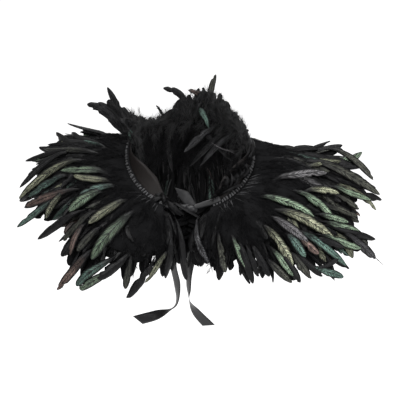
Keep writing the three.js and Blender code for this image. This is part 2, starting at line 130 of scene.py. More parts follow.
# Cape feathers that stand out in the photo: their tip and the start of their open vane in its pixels,
# the sideways bow and half width in millimetres, and the colour.
PLACED = columns("tip_x tip_y base_x base_y bow half_width tint", [
    (374, 180, 341, 155, 10, 5, DARK), (380, 195, 322, 166, 9, 7, DARK), (371, 200, 338, 189, 2, 5, GREEN),
    (358, 209, 338, 197, 2, 5, DARK), (326, 173, 284, 176, 0, 7.5, MAUVE),
    (337, 164, 314, 166, 2, 5, OLIVE), (338, 193, 312, 190, 2, 6, OLIVE), (356, 216, 328, 207, 2, 5, DARK),
    (330, 216, 300, 194, 3, 6.5, GREEN), (312, 217, 267, 199, 6, 6.5, GREEN),
    (331, 236, 286, 213, 2, 8, OLIVE), (346, 222, 322, 217, 2, 5, GREEN),
    (357, 231, 330, 224, 2, 5.5, GREEN), (306, 241, 276, 220, 2, 7, MAUVE),
    (316, 253, 300, 239, 1, 6, BRONZE), (344, 265, 305, 235, 4, 6, TEAL),
    (342, 247, 318, 239, 1, 5.5, BLACK), (359, 248, 326, 236, 2, 6, GREEN),
    (303, 256, 288, 236, 2, 6.5, TEAL), (291, 264, 266, 231, 4, 8, OLIVE),
    (291, 274, 272, 252, 2, 6, GREEN), (300, 269, 291, 254, 2, 5.5, DARK),
    (341, 276, 312, 268, 2, 5.5, TEAL), (374, 239, 340, 230, 1, 4.5, BLACK),
    (373, 258, 346, 236, 2, 6, GREY), (382, 265, 362, 248, 0, 0.7, MAUVE),
    (336, 258, 318, 266, -2, 3.5, BLACK), (345, 150, 302, 147, 2, 5, BLACK),
    (225, 271, 218, 238, 1, 5.5, DARK), (252, 282, 240, 250, 2, 5.5, BLACK),
    (247, 268, 233, 240, 1, 5.5, GREEN), (290, 281, 270, 262, 1, 5.5, DARK),
    (268, 275, 255, 250, 1, 5.5, BLACK), (298, 281, 282, 258, 1, 5.5, BLACK),
    (309, 277, 292, 256, 1, 5.5, DARK), (320, 275, 300, 258, 1, 5, BLACK),
    (257, 275, 247, 250, 1, 5, BLACK), (65, 122, 98, 131, -2, 6.5, BLACK), (54, 131, 80, 143, -2, 6, BLACK),
    (70, 131, 92, 141, 2, 6, BLACK), (78, 138, 99, 144, 0, 3, TEAL), (42, 148, 85, 152, -2, 5, DARK),
    (24, 161, 62, 152, -5, 4, BLACK), (20, 188, 58, 157, -7, 4.5, BLACK), (20, 199, 70, 165, -9, 6, OLIVE),
    (30, 197, 60, 178, -3, 6, TEAL), (62, 171, 98, 172, -3, 6.5, GREEN),
    (75, 176, 106, 181, -2, 5.5, OLIVE), (28, 206, 66, 191, 0, 6.5, BRONZE),
    (19, 227, 50, 203, 0, 4.5, TEAL), (48, 218, 62, 197, -3, 5, OLIVE), (82, 194, 111, 186, -1, 6, TEAL),
    (71, 211, 98, 193, -2, 8, GREEN), (40, 239, 74, 217, -4, 5.5, BLACK), (91, 223, 122, 203, -2, 7, OLIVE),
    (94, 258, 128, 219, -4, 9, GREEN), (66, 240, 92, 214, -2, 6, DARK), (73, 254, 84, 228, -3, 5, BRONZE),
    (80, 250, 98, 230, -2, 5.5, DARK), (60, 288, 86, 258, -1, 6, BRONZE),
    (79, 284, 106, 262, -2, 6.5, TEAL), (83, 288, 108, 273, -1, 6, GREEN),
    (100, 277, 124, 258, 0, 7, BLACK), (128, 296, 150, 268, -1, 6, BLACK),
    (127, 287, 133, 262, -2, 5, DARK), (146, 281, 166, 254, -1, 4.5, OLIVE),
    (166, 277, 172, 245, 0, 5.5, BLACK), (185, 264, 180, 230, 0, 4.5, BLACK),
    (187, 279, 205, 245, -3, 5, BLACK), (209, 262, 198, 226, -2, 5, GREY),
])

# Collar feathers that stand out: where they leave the band, the tip in the photo's pixels and its depth
# behind the neck's middle, the bow to the right and up, the half width, the colour, and the barbs of down.
FREE = columns("angle up tip_x tip_y depth bow_x bow_z half_width tint down", [
    (182, 12, 163, 88, 66, 12, 12, 5, BLACK, 40), (160, 12, 216, 74, 84, -4, 4, 4.5, DARK, 20),
    (152, 12, 221, 93, 68, 0, 4, 4, BLACK, 60), (172, 12, 199, 88, 70, -3, 4, 4, BLACK, 60),
    (170, 12, 203, 87, 72, 3, 4, 4, BLACK, 60), (174, 12, 188, 90, 66, 14, 12, 4.5, BRONZE, 30),
    (208, 12, 156, 105, 58, 4, 0, 1.8, BLACK, 60), (206, 12, 157, 116, 56, 2, 0, 1.8, BLACK, 60),
    (255, 10, 88, 105, 12, -2, 12, 6.5, BLACK, 240), (251, 10, 108, 88, 26, -2, 2, 5, BLACK, 140),
    (258, 10, 110, 117, 4, -4, 6, 6, BLACK, 200), (253, 10, 98, 104, 18, -2, 8, 6.5, BLACK, 240),
    (249, 10, 108, 101, 22, -2, 6, 7, BLACK, 260), (247, 10, 116, 107, 26, 0, 5, 8, BLACK, 280),
    (243, 10, 124, 115, 30, 0, 4, 8, BLACK, 260), (240, 10, 133, 124, 34, 0, 2, 8, BLACK, 200),
    (236, 8, 143, 132, 40, 0, 0, 7, BLACK, 120), (146, 11, 184, 152, 34, 6, 12, 5.5, GREY, 60),
    (170, 11, 232, 161, 34, -12, 12, 4.5, GREY, 40), (118, 11, 200, 166, 34, 4, 14, 4, GREY, 30),
    (176, 11, 209, 128, 38, -3, 25, 5, TEAL, 0), (128, 11, 190, 166, 44, 6, 14, 4, BLACK, 200),
    (200, 11, 172, 172, 40, -6, 20, 4, BLACK, 200), (96, 12, 211, 142, 30, 0, -9, 1.0, MAUVE, 0),
    (92, 12, 226, 148, 30, 0, -6, 0.8, MAUVE, 0),
])

# Ribbon routes, each turned about its own line: at 0 the ribbon faces the front.
LEFT_TAIL = columns("x y z turn", [
    (-2, -74.6, -89.9, 0), (-7, -70, -110, 8), (-20, -67, -142, 20), (-26, -67, -172, 48),
    (-20, -67, -206, 50), (-20, -67, -236, 80), (-30, -67, -250, 100), (-54, -66, -260, 40),
    (-81, -66, -268, 12),
])
RIGHT_TAIL = columns("x y z turn", [
    (4, -73.2, -89.7, 0), (7, -67, -110, 0), (4, -63, -150, 24), (-1, -63, -190, 56),
    (-2, -63, -216, 66), (-1, -63, -234, 84), (10, -63, -256, 28), (29, -63, -278, 6),
])
THROAT_LOOP = columns("x y z turn", [
    (2, -73, -78, 0), (-3, -69, -70, 10), (-9, -65, -62, 16), (-13, -63, -54, 20),
])
KNOT_CENTRE, KNOT_RADII = np.array([2, -75, -81]) * MM, np.array([9, 7.5, 8.5])
KNOT_PRESSED, KNOT_WRAP_SHARE = (0.92, 0.92, 0.66), 0.84

# Feathers at the throat: the stretch on the right, how many, their least and greatest length, their lean
# along the band and how far they turn inward. The left has the same.
THROAT = [
    (24, 40, 10, 50, 80, 0.45, 0.28), (20, 28, 10, 50, 80, 1.9, 0.28), (4, 20, 12, 66, 92, 0.1, 0.75),
    (22, 27, 7, 40, 70, 4.0, 0.28),
]


def unit(v):
    return v / np.maximum(np.linalg.norm(v, axis=-1, keepdims=True), 1e-12)


def smooth(x, low, high):
    t = np.clip((x - low) / (high - low), 0, 1)
    return t * t * (3 - 2 * t)


def turned(v, axis, angle):
    """Vectors turned about unit axes by angles in radians."""
    c, s = np.cos(angle)[..., None], np.sin(angle)[..., None]
    return v * c + np.cross(axis, v) * s + axis * np.sum(axis * v, axis=-1, keepdims=True) * (1 - c)


# The neckline and the surfaces that the feathers lie on
def passed(angle, start, end):
    """How much of a stretch is passed, going back from the front centre on either side."""
    return smooth(np.minimum(angle, 360 - angle), start, end)


def neck_drop(depth):
    ahead = NECK_BEND_DEPTH - depth
    return NECK_SLOPE / 2 * (ahead + np.hypot(ahead, NECK_BEND_ROUND))


def neck_points(angle):
    a = np.radians(angle)
    depth = -HALF_DEPTH * np.cos(a)
    return np.stack([HALF_WIDTH * np.sin(a), depth, neck_drop(HALF_DEPTH) - neck_drop(depth)], axis=-1)


def band_heights(angle):
    front = BAND_END_HEIGHT + (BAND_HEIGHT - BAND_END_HEIGHT) * passed(angle, FRONT_OPENING, 52)
    return front + (BAND_BACK_HEIGHT - front) * passed(angle, 64, 108)


def on_band(angle, outward, upward):
    """Points so far out from the band and up its wall, with the directions along, up and out there."""
    a = np.radians(angle)
    out = unit(np.stack([HALF_DEPTH * np.sin(a), -HALF_WIDTH * np.cos(a), 0 * a], axis=-1))
    along = unit(neck_points(angle + 1) - neck_points(angle - 1))
    up = unit(np.cross(out, along))
    lean = BAND_FRONT_LEAN + (BAND_BACK_LEAN - BAND_FRONT_LEAN) * passed(angle, 53, 90)
    wall = turned(up, along, -np.radians(lean))
    face = unit(np.cross(along, wall))
    outward, upward = np.broadcast_arrays(outward, upward)
    return neck_points(angle) + face * outward[..., None] + wall * upward[..., None], along, wall, face


class Surface:
    """Points by angle round the neck and share of the feathers' length, and what lies between them."""

    def __init__(self, angles, shares, roots, headings, lengths):
        steps = headings * (lengths * (shares[1] - shares[0]))[..., None]
        points = np.concatenate([roots[:, None], roots[:, None] + np.cumsum(steps, axis=1)], axis=1)
        along = unit(np.gradient(points, axis=1))
        normal = unit(np.cross(along, np.gradient(points, axis=0)))
        self.angles, self.shares = angles, shares
        self.grid = np.concatenate([points, along, normal], axis=-1)

    def at(self, angle, share, lift=0.0):
        """Points so far above the surface, with the surface's directions there."""
        angle, share, lift = np.broadcast_arrays(angle, share, lift)
        rows, places = self.angles, self.shares
        i = np.clip((angle - rows[0]) / (rows[1] - rows[0]), 0, len(rows) - 1.001)
        j = np.clip((share - places[0]) / (places[1] - places[0]), 0, len(places) - 1.001)
        i0, j0 = i.astype(int), j.astype(int)
        di, dj = (i - i0)[..., None], (j - j0)[..., None]
        low = self.grid[i0, j0] * (1 - dj) + self.grid[i0, j0 + 1] * dj
        high = self.grid[i0 + 1, j0] * (1 - dj) + self.grid[i0 + 1, j0 + 1] * dj
        points, along, normal = np.split(low * (1 - di) + high * di, 3, axis=-1)
        normal = unit(normal)
        return points + normal * lift[..., None], unit(along), normal


def sections(table, angles):
    """A table's columns at given angles."""
    return {name: np.interp(angles, table["angle"], table[name])[:, None] for name in table}


def cape_surface():
    angles, shares = np.linspace(10, 350, 171), np.linspace(0, 1.16, 59)
    row = sections(CAPE, angles)
    middle = np.clip((shares[:-1] + shares[1:]) / 2, 0, 1)
    slope = np.radians(row["root_slope"] + (row["tip_slope"] - row["root_slope"]) * (1 - (1 - middle) ** 2))
    turn = np.radians(row["heading"])
    level = np.cos(slope)
    headings = np.stack([np.sin(turn) * level, -np.cos(turn) * level, -np.sin(slope)], axis=-1)
    roots, *_ = on_band(angles, CAPE_ROOT_OUT, -CAPE_ROOT_DROP)
    return Surface(angles, shares, roots, headings, row["length"] * MM)


def collar_surface():
    angles, shares = np.linspace(84, 276, 97), np.linspace(0, 1.3, 53)
    row = sections(COLLAR, angles)
    roots, *directions = on_band(angles, COLLAR_ROOT_OUT, COLLAR_ROOT_UP)
    along, wall, face = (v[:, None] for v in directions)
    middle = (shares[:-1] + shares[1:]) / 2
    length = row["length"] * MM
    bend = band_heights(angles)[:, None] - COLLAR_FOOT
    bent = smooth(middle * length, bend, np.maximum(0.95 * length, bend + MM))
    lean = np.radians(row["flare"] * bent)[..., None]
    drift = (np.tan(np.radians(row["sweep"])) * middle)[..., None]
    headings = unit(wall * np.cos(lean) + face * np.sin(lean) + along * drift)
    return Surface(angles, shares, roots, headings, length)


CAPE_SURFACE = cape_surface()
COLLAR_SURFACE = collar_surface()


# Meshes from arrays
def add_object(name, data):
    made = bpy.data.objects.new(name, data)
    scene.collection.objects.link(made)
    return made


def mesh_object(name, points, faces, attributes=()):
    """A smooth mesh object from points and rows of face corners, with named values at its points."""
    mesh = bpy.data.meshes.new(name)
    mesh.from_pydata(points, [], [corners for rows in faces for corners in rows.tolist()])
    for key, kind, values in attributes:
        layer = mesh.attributes.new(key, kind, "POINT")
        field = "color" if kind == "FLOAT_COLOR" else "vector"
        layer.data.foreach_set(field, values.ravel())
    mesh.validate()
    mesh.shade_smooth()
    return add_object(name, mesh)


def repeated(faces, count, size):
    """The same faces on each of many forms alike, with so many points each."""
    start = (np.arange(count) * size)[:, None, None]
    return (faces + start).reshape(-1, faces.shape[1])


def tubes(points, values=()):
    """Many closed tubes from points by tube, ring and side, each with a fan over both ends."""
    count, rings, sides = points.shape[:3]
    ring, side = np.meshgrid(np.arange(rings - 1), np.arange(sides), indexing="ij")
    a = (ring * sides + side).ravel()
    b = (ring * sides + (side + 1) % sides).ravel()
    quads = np.stack([a, b, b + sides, a + sides], axis=1)
    last = (rings - 1) * sides
    fan = np.arange(1, sides - 1)
    caps = np.concatenate([
        np.stack([0 * fan, fan + 1, fan], axis=1),
        np.stack([last + 0 * fan, last + fan, last + fan + 1], axis=1),
    ])
    faces = [repeated(corners, count, rings * sides) for corners in (quads, caps)]
    return points.reshape(-1, 3), faces, values


def joined(parts):
    """Several sets of points and faces as one. Only a piece of one set has point values."""
    points, faces, values, start = [], [], [], 0
    for part_points, part_faces, part_values in parts:
        points.append(part_points)
        faces += [corners + start for corners in part_faces]
        values += part_values
        start += len(part_points)
    return np.concatenate(points), faces, values


# Feathers
VANE_ACROSS = np.array([-1, -0.55, -0.09, 0, 0.09, 0.55, 1, 0.55, 0.09, 0, -0.09, -0.55])
VANE_DEPTH = np.array([0, 0.14, 0.22, 0.5, 0.22, 0.14, 0, -0.14, -0.22, -0.45, -0.22, -0.14]) * MM
VANE_SIDES, VANE_ROWS = len(VANE_ACROSS), 15
VANE_SEED_STEP = 0.731
VANE_SHARES = 1 - (1 - np.linspace(0, 1, VANE_ROWS)) ** 1.4


def vane_profile(share, widest):
    """Half width along a feather as a share of its widest: a bare quill, a loose base and a round tip."""
    rise = smooth(share, 0.02, widest) ** 0.7
    tip = np.clip((share - widest) / (1 - widest), 0, 1)
    return np.maximum(rise * np.clip(1 - tip**2.7, 0, None) ** 0.68, 0.035)


def vanes(spine, normal, look):
    """Closed thin vanes along spines. Look has each one's half_width, widest, roll, twist, cup and tint."""
    count = len(spine)
    share = VANE_SHARES
    along = unit(np.gradient(spine, axis=1))
    side = unit(np.cross(normal, along))
    roll = np.radians(look["roll"][:, None] + look["twist"][:, None] * share)
    side = turned(side, along, roll)
    normal = np.cross(along, side)
    width = look["half_width"][:, None] * vane_profile(share, look["widest"][:, None])
    splits = (rng.random((2, count, VANE_ROWS)) < 0.07) & (share > 0.3)
    ragged = 1 - 0.4 * splits - 0.1 * rng.random((2, count, VANE_ROWS))
    u = VANE_ACROSS
    offset = np.where(u < 0, (width * ragged[0])[..., None], (width * ragged[1])[..., None]) * u
    depth = VANE_DEPTH * np.clip(width / (4 * MM), 0.35, 1)[..., None]
    droop = -look["cup"][:, None, None] * np.abs(offset) * np.abs(u)
    ahead = 0.55 * np.abs(offset) * smooth(share, 0.1, 0.5)[..., None]
    points = (spine[:, :, None] + side[:, :, None] * offset[..., None]
              + along[:, :, None] * ahead[..., None] + normal[:, :, None] * (depth + droop)[..., None])
    seed = np.arange(count)[:, None, None] * VANE_SEED_STEP
    place = np.stack(np.broadcast_arrays(u, share[..., None], seed), axis=-1)
    tint = np.ones((count, VANE_ROWS, VANE_SIDES, 4))
    tint[..., :3] = look["tint"][:, None, None]
    return tubes(points, [("vane", "FLOAT_VECTOR", place), ("tint", "FLOAT_COLOR", tint)])


def random_look(count, colour_share, width=1.0):
    """Widths, turns and colours by chance, where colour_share of the feathers aren't black."""
    index = rng.choice(len(COLOURS), count, p=COLOUR_SHARES)
    index = np.where(rng.random(count) < colour_share, index, BLACK)
    narrow = (rng.random(count) < 0.2) & (index == BLACK)
    half = np.where(narrow, rng.uniform(3.4, 5, count), rng.uniform(6.2, 9.6, count))
    return {
        "half_width": half * MM * width,
        "widest": rng.uniform(0.46, 0.64, count),
        "roll": rng.normal(0, 13, count),
        "twist": rng.normal(0, 24, count),
        "cup": rng.uniform(0.05, 0.4, count),
        "tint": COLOURS[index] * rng.uniform(0.55, 1.1, (count, 1)),
    }


def placed_look(table):
    count = len(table["tint"])
    look = random_look(count, 0)
    look["half_width"] = table["half_width"] * 1.2 * MM
    look["roll"], look["twist"] = rng.normal(0, 5, count), rng.normal(0, 8, count)
    look["tint"] = COLOURS[table["tint"].astype(int)] * rng.uniform(0.9, 1.25, (count, 1))
    return look


def many(sets):
    """Spines, normals and looks of several sets of feathers as one set of vanes."""
    spines, normals, looks = zip(*sets)
    look = {key: np.concatenate([x[key] for x in looks]) for key in looks[0]}
    return vanes(np.concatenate(spines), np.concatenate(normals), look)


# Cape feathers
def cape_length(angle):
    return np.interp(angle, CAPE["angle"], CAPE["length"]) * MM


def settled(angle):
    """How far the plies stand off each other: less behind, where they hang flat."""
    return 1 - 0.6 * passed(angle, 84, 114)


def cape_lines(angle, share, lift, sway):
    """Points and normals over the cape along lines of angle and share, lifted and swayed sideways."""
    height = lift * smooth(share, 0, PLY_SPREAD) * settled(angle)
    points, along, normal = CAPE_SURFACE.at(angle, share, height)
    hand = np.where(angle < 180, 1, -1)
    tilt = np.radians(SHINGLE_TILT) * hand * passed(angle, 35, 75) * (1 - passed(angle, 130, 175))
    return points + np.cross(normal, along) * sway[..., None], turned(normal, along, tilt)


def clumps(angle, uneven):
    """Longer and shorter runs of feathers round the cape, with a gap in the left wing."""
    runs = 0.05 * np.sin(np.radians(13 * angle + 40)) + 0.04 * np.sin(np.radians(29 * angle))
    return uneven * runs - 0.13 * np.exp(-(((angle - 300) / 8) ** 2))


def cape_layer(count, reach, lift, width, least, colour):
    """Feathers all round the cape. The plain ones lie more evenly."""
    pitch = (LEFT_EDGE - RIGHT_EDGE) / count
    uneven = 0.3 + 0.7 * colour
    angle = RIGHT_EDGE + (np.arange(count) + 0.5 + 0.4 * uneven * rng.uniform(-1, 1, count)) * pitch
    varied = 1 + clumps(angle, uneven) + rng.normal(0, 0.045, count)
    shorter_in_front = 1 - 0.07 * (1 - passed(angle, 108, 132))
    reaches = np.minimum(reach * shorter_in_front * varied, 1.03)
    start = np.maximum(reaches - rng.uniform(94, 132, count) * MM / cape_length(angle), 0.04)
    t = VANE_SHARES
    share = start[:, None] + (reaches - start)[:, None] * t
    angles = angle[:, None] + rng.normal(0, 2 * uneven, (count, 1)) * t**2
    foot, curl = rng.uniform(-0.8, 0.8, (count, 1)), rng.uniform(-1, 5, (count, 1))
    lifts = lift * MM + foot * MM + curl * MM * t**3
    loose = (0.4 + 0.6 * passed(angle, 30, 60))[:, None] * MM
    swing, wave = rng.normal(0, 10, (count, 1)), rng.normal(0, 3, (count, 1))
    sway = uneven * loose * (swing * t**2 + wave * np.sin(2 * math.pi * t))
    spine, normal = cape_lines(angles, share, lifts, sway)
    hand = np.where(angle < 180, 0.58, 0.36)
    shoulder = passed(angle, 78, 92) * (1 - passed(angle, 112, 130))
    look = random_look(count, colour * (0.02 + hand * passed(angle, 40, 64) * (1 - 0.6 * shoulder)))
    # The colours are drawn lighter on the right side and darker on the left: painted light.
    look["tint"] *= np.where(angle < 180, 1.35, 0.75)[:, None]
    look["half_width"] = np.maximum(look["half_width"] * width, least * MM)
    return spine, normal, look


def placed_lift(share):
    """Height of the placed feathers over the cape: they come down to it towards the tips."""
    return np.interp(share, [0.5, 1], [19, 6]) * MM


def photo_place(x, y):
    """The angle and share on the cape nearest to pixels of the photo, and what is still short of them."""
    angle, share = np.meshgrid(np.arange(RIGHT_EDGE, 360 - RIGHT_EDGE, 0.5), np.arange(0.05, 1.14, 0.01))
    keep = np.minimum(angle, 360 - angle) < 120
    angle, share = angle[keep], share[keep]
    height = placed_lift(share) * smooth(share, 0, PLY_SPREAD) * settled(angle)
    points, _, _ = CAPE_SURFACE.at(angle, share, height)
    px = PHOTO_CENTRE_X + points[:, 0] / PHOTO_SCALE
    rise = points[:, 2] * VIEW_COS + points[:, 1] * VIEW_SIN
    py = PHOTO_CENTRE_Y - rise / PHOTO_SCALE
    nearest = np.argmin((px - x[:, None]) ** 2 + (py - y[:, None]) ** 2, axis=1)
    short_x = (x - px[nearest]) * PHOTO_SCALE
    short_z = (py[nearest] - y) * PHOTO_SCALE / VIEW_COS
    short = np.clip(np.stack([short_x, 0 * x, short_z], axis=1), -REACH_LIMIT, REACH_LIMIT)
    return angle[nearest], share[nearest], short


def placed_feathers():
    tip_angle, tip_share, short = photo_place(PLACED["tip_x"], PLACED["tip_y"])
    base_angle, base_share, _ = photo_place(PLACED["base_x"], PLACED["base_y"])
    base_angle = np.where(np.abs(base_angle - tip_angle) > 90, tip_angle, base_angle)
    start_share = np.maximum(base_share + 0.5 * (base_share - tip_share), 0.05)
    start_angle = base_angle + 0.5 * (base_angle - tip_angle)
    t = VANE_SHARES
    share = start_share[:, None] + (tip_share - start_share)[:, None] * t
    angle = start_angle[:, None] + (tip_angle - start_angle)[:, None] * t
    stacked = rng.uniform(0, 1, len(tip_share))[:, None] * MM
    lift = (placed_lift(share) + stacked) * (0.35 + 0.65 * smooth(t, 0, 0.33))
    sway = PLACED["bow"][:, None] * MM * 4 * t * (1 - t)
    spine, normal = cape_lines(angle, share, lift, sway)
    spine = spine + short[:, None] * (t**1.5)[..., None]
    look = placed_look(PLACED)
    # Placed feathers on the right are drawn much lighter and those on the left darker: painted light.
    look["tint"] *= np.where(PLACED["tip_x"] < PHOTO_CENTRE_X, 0.78, 1.7)[:, None]
    return spine, normal, look


# Down, with each ply's level, 0 below and 1 on top, and the share of its feathers that is downy
DOWN_BARBS, SPILL_BARBS = 30, 22
PLUME_SHARES = np.linspace(0, 1, 5)
UNDER, OVER, INNER = (0, 0.5), (1, 0.42), (0, 0.9)

# A barb has a ring of three points at the root, one at the bend, and a point.
BARB_FACES = [
    np.array([(0, 1, 4, 3), (1, 2, 5, 4), (2, 0, 3, 5)]),
    np.array([(3, 4, 6), (4, 5, 6), (5, 3, 6), (0, 2, 1)]),
]


def barbs(root, heading, bend, length, width):
    """Soft bent spikes, each flat and three-sided, that taper to a point."""
    reach = length[:, None]
    middle = root + (heading * 0.5 + bend * 0.25) * reach
    tip = root + (heading + bend) * reach
    across = unit(np.cross(heading, bend + rng.normal(0, 0.3, heading.shape))) * width[:, None]
    through = np.cross(unit(heading), across)
    corners = [across - 0.12 * through, -across - 0.12 * through, 0.3 * through]
    rings = [place + corner * size for place, size in ((root, 0.9), (middle, 0.8)) for corner in corners]
    points = np.stack(rings + [tip], axis=1)
    return points.reshape(-1, 3), [repeated(corners, *points.shape[:2]) for corners in BARB_FACES], []


def plumes(spine, normal, each, length, spread):
    """Thin stems with barbs on both sides, as on the downy foot of a feather."""
    count, rows = spine.shape[:2]
    along = unit(np.gradient(spine, axis=1))
    side = unit(np.cross(normal, along))
    feather = np.repeat(np.arange(count), each)
    total = len(feather)
    place = rng.random(total) * (rows - 1.001)
    row, part = place.astype(int), (place % 1)[:, None]
    root = spine[feather, row] * (1 - part) + spine[feather, row + 1] * part
    a, n, b = along[feather, row], normal[feather, row], side[feather, row]
    hand = np.where(rng.random(total) < 0.5, 1, -1)[:, None]
    open_angle = rng.uniform(0.25, spread, (total, 1))
    rise = rng.normal(0.15, 0.28, (total, 1))
    heading = unit(a * np.cos(open_angle) + b * hand * np.sin(open_angle) + n * rise)
    bend = a * 0.3 - b * hand * 0.15 + rng.normal(0, 0.12, heading.shape)
    longest = np.broadcast_to(length, count)[feather]
    reach = longest * rng.uniform(0.55, 1.1, total) * (1 - 0.35 * place / rows)
    width = rng.uniform(0.22, 0.45, total) * MM
    thick = np.linspace(0.5, 0.12, rows)[:, None] * MM
    stems = tubes(np.stack([spine + side * thick, spine - side * thick, spine + normal * thick], axis=2))
    return joined([stems, barbs(root, heading, bend, reach, width)])


BED_TUCK = 2.2 * MM


def bed_half(station):
    """Half the thickness of the cape's bed from root to end."""
    return np.interp(station, [0, 0.25, 0.5, 0.8, 1], [1.2, 2.4, 3.2, 2.6, 0.6]) * MM


def ply_lift(level, share):
    return level * (PLY_ROOT_SPACING + (PLY_SPACING - PLY_ROOT_SPACING) * smooth(share, 0, PLY_SPREAD))


def down_reach(angle, reach):
    """The share of the feathers that is downy: more in front, where they are short."""
    return reach + 0.18 * (1 - passed(angle, 30, 54))


def down_bed(surface, angles, level, half, reach):
    """A closed lumpy ring on a surface, under the barbs, with its root edge tucked in under the header."""
    share = np.linspace(0, 1, len(half)) * reach[:, None]
    height = ply_lift(level, share) * settled(angles)[:, None]
    swell = half * rng.uniform(0.3, 1.25, (len(angles), len(half)))
    upper, along, _ = surface.at(angles[:, None], share, height + swell)
    lower, _, _ = surface.at(angles[:, None], share, height - swell)
    tuck = along * np.where(np.arange(len(half)) == 0, BED_TUCK, 0)[:, None]
    return tubes(np.concatenate([upper - tuck, (lower - tuck)[:, ::-1]], axis=1)[None])


def cape_bed(level, reach):
    angles = np.linspace(BED_RIGHT, BED_LEFT, 300)
    return down_bed(CAPE_SURFACE, angles, level, bed_half(np.linspace(0, 1, 14)), down_reach(angles, reach))


def collar_bed():
    angles = np.linspace(92, 268, 150)
    return down_bed(COLLAR_SURFACE, angles, 0, np.linspace(1.2, 0.5, 8) * MM, 0.5 + 0 * angles)


def cape_down(start, end, count, level, reach, face):
    """Plumes on one face of a stretch of a ply's bed: face is 1 for the top and -1 for the underside."""
    angle = rng.uniform(start, end, count)
    station = rng.random(count) * 0.95 - 0.02
    t = PLUME_SHARES
    downy = down_reach(angle, reach)[:, None]
    share = station[:, None] * downy + (rng.uniform(22, 40, count) * MM / cape_length(angle))[:, None] * t
    angles = angle[:, None] + rng.normal(0, 3, (count, 1)) * t
    rise = bed_half(np.clip(share / downy, 0, 1)) + rng.uniform(-1, 2.5, (count, 1)) * MM * t
    height = ply_lift(level, share) * settled(angles) + face * rise
    spine, _, normal = CAPE_SURFACE.at(angles, np.maximum(share, 0), height)
    return plumes(spine, normal * face, DOWN_BARBS, 15 * MM * settled(angle), 1.0)


# Collar
def collar_reach(angle):
    """How much of the collar's run its layers use: less at the tuft, which has feathers of its own."""
    return 1 - 0.45 * smooth(angle, 228, 240)


def collar_layer(count, reach, inward):
    angle = 98 + (np.arange(count) + rng.uniform(0, 1, count)) * 170 / count
    t = VANE_SHARES
    reaches = reach * collar_reach(angle) * rng.uniform(0.85, 1.08, count)
    share = 0.05 + (reaches - 0.05)[:, None] * t
    angles = angle[:, None] + rng.normal(0, 4, (count, 1)) * t**2
    curl = rng.normal(0, 3, (count, 1)) * MM * t**2
    spine, _, normal = COLLAR_SURFACE.at(angles, share, inward * MM + curl)
    return spine, normal, random_look(count, 0.04, 1.25)


def free_feathers():
    """Collar feathers with a place of their own, each a bowed line from the band to its tip."""
    root, *_ = on_band(FREE["angle"], COLLAR_ROOT_OUT, FREE["up"] * MM)
    rise = (PHOTO_CENTRE_Y - FREE["tip_y"]) * PHOTO_SCALE
    depth = FREE["depth"] * MM
    height = (rise - depth * VIEW_SIN) / VIEW_COS
    tip = np.stack([(FREE["tip_x"] - PHOTO_CENTRE_X) * PHOTO_SCALE, depth, height], axis=1)
    bow = np.stack([FREE["bow_x"], 0 * depth, FREE["bow_z"]], axis=1) * MM
    t = VANE_SHARES[:, None]
    spine = root[:, None] * (1 - t) + tip[:, None] * t + bow[:, None] * 4 * t * (1 - t)
    along = unit(np.gradient(spine, axis=1))
    normal = unit(np.cross(along, np.cross([0, -1.0, 0.3], along)))
    return spine, normal, placed_look(FREE)


def lining_feathers(start, end, count, shortest, longest, lean, inward=0.28, up=0.5):
    """Soft black feathers that hang inside a stretch of the neck, and lean along the band."""
    angle = np.linspace(start, end, count) + rng.uniform(-3, 3, count)
    height = rng.uniform(up - 0.3, up + 0.3, count) * band_heights(angle)
    root, along, _, face = on_band(angle, COLLAR_ROOT_OUT, height)
    length = rng.uniform(shortest, longest, (count, 1, 1)) * MM
    t = VANE_SHARES[:, None]
    sideways = rng.normal(lean, 0.35, (count, 1, 1))
    fall = (along[:, None] * sideways + [0, 0, -1]) / np.hypot(1, sideways)
    drop = fall * t + face[:, None] * (0.5 * t**2 - inward * t)
    spine = root[:, None] + drop * length
    normal = np.repeat(-face[:, None], VANE_ROWS, axis=1)
    return spine, normal, random_look(count, 0)


def collar_down(count):
    angle = rng.uniform(90, 270, count)
    t = PLUME_SHARES
    start = rng.random(count) ** 1.4 * 0.6
    share = (start[:, None] + 0.4 * t) * collar_reach(angle)[:, None]
    angles = angle[:, None] + rng.normal(0, 5, (count, 1)) * t
    face = np.where(rng.random(count) < 0.6, 1, -1)
    spine, _, normal = COLLAR_SURFACE.at(angles, share, (face * rng.uniform(0.5, 4, count) * MM)[:, None])
    return plumes(spine, normal * face[:, None, None], DOWN_BARBS, 19 * MM, 1.1)


def plume_of(feathers, each, length):
    """Down along the lower part of given feathers."""
    spine, normal, _ = feathers
    return plumes(spine[:, :11], normal[:, :11], each, length, 1.1)


# Where feathers spill over the band: the stretch, their lean along it, and how low their ends may come
RIGHT_SPILL, LEFT_SPILL = (25, 88, 0.1, 15 * MM), (328, 337, 0.5, -8 * MM)


def spill_lines(spill, count, rows, shortest, longest):
    """Lines that come over the band's upper edge along a stretch and lie down on its outer face."""
    start, end, lean, lowest = spill
    angle = rng.uniform(start, end, count)
    up = band_heights(angle) * rng.uniform(0.5, 1.1, count)
    root, along, wall, face = on_band(angle, BAND_WALL + 0.4 * MM, up)
    length = rng.uniform(shortest, longest, (count, 1, 1)) * MM
    t = rows[:, None]
    sideways = rng.normal(lean, 0.7, (count, 1, 1))
    room = np.maximum(up - lowest, MM) / length[:, 0, 0]
    fall = np.minimum(rng.uniform(0.2, 0.9, count), room)[:, None, None]
    bulge = rng.uniform(0.15, 0.4, (count, 1, 1)) * 4 * t * (1 - t) + 0.06 * t
    path = along[:, None] * sideways * t - wall[:, None] * fall * t + face[:, None] * bulge
    return root[:, None] + path * length, np.repeat(face[:, None], len(rows), axis=1)


def band_spill(spill, count):
    """Down that hides the band along a stretch."""
    return plumes(*spill_lines(spill, count, PLUME_SHARES, 12, 24), SPILL_BARBS, 7 * MM, 1.3)


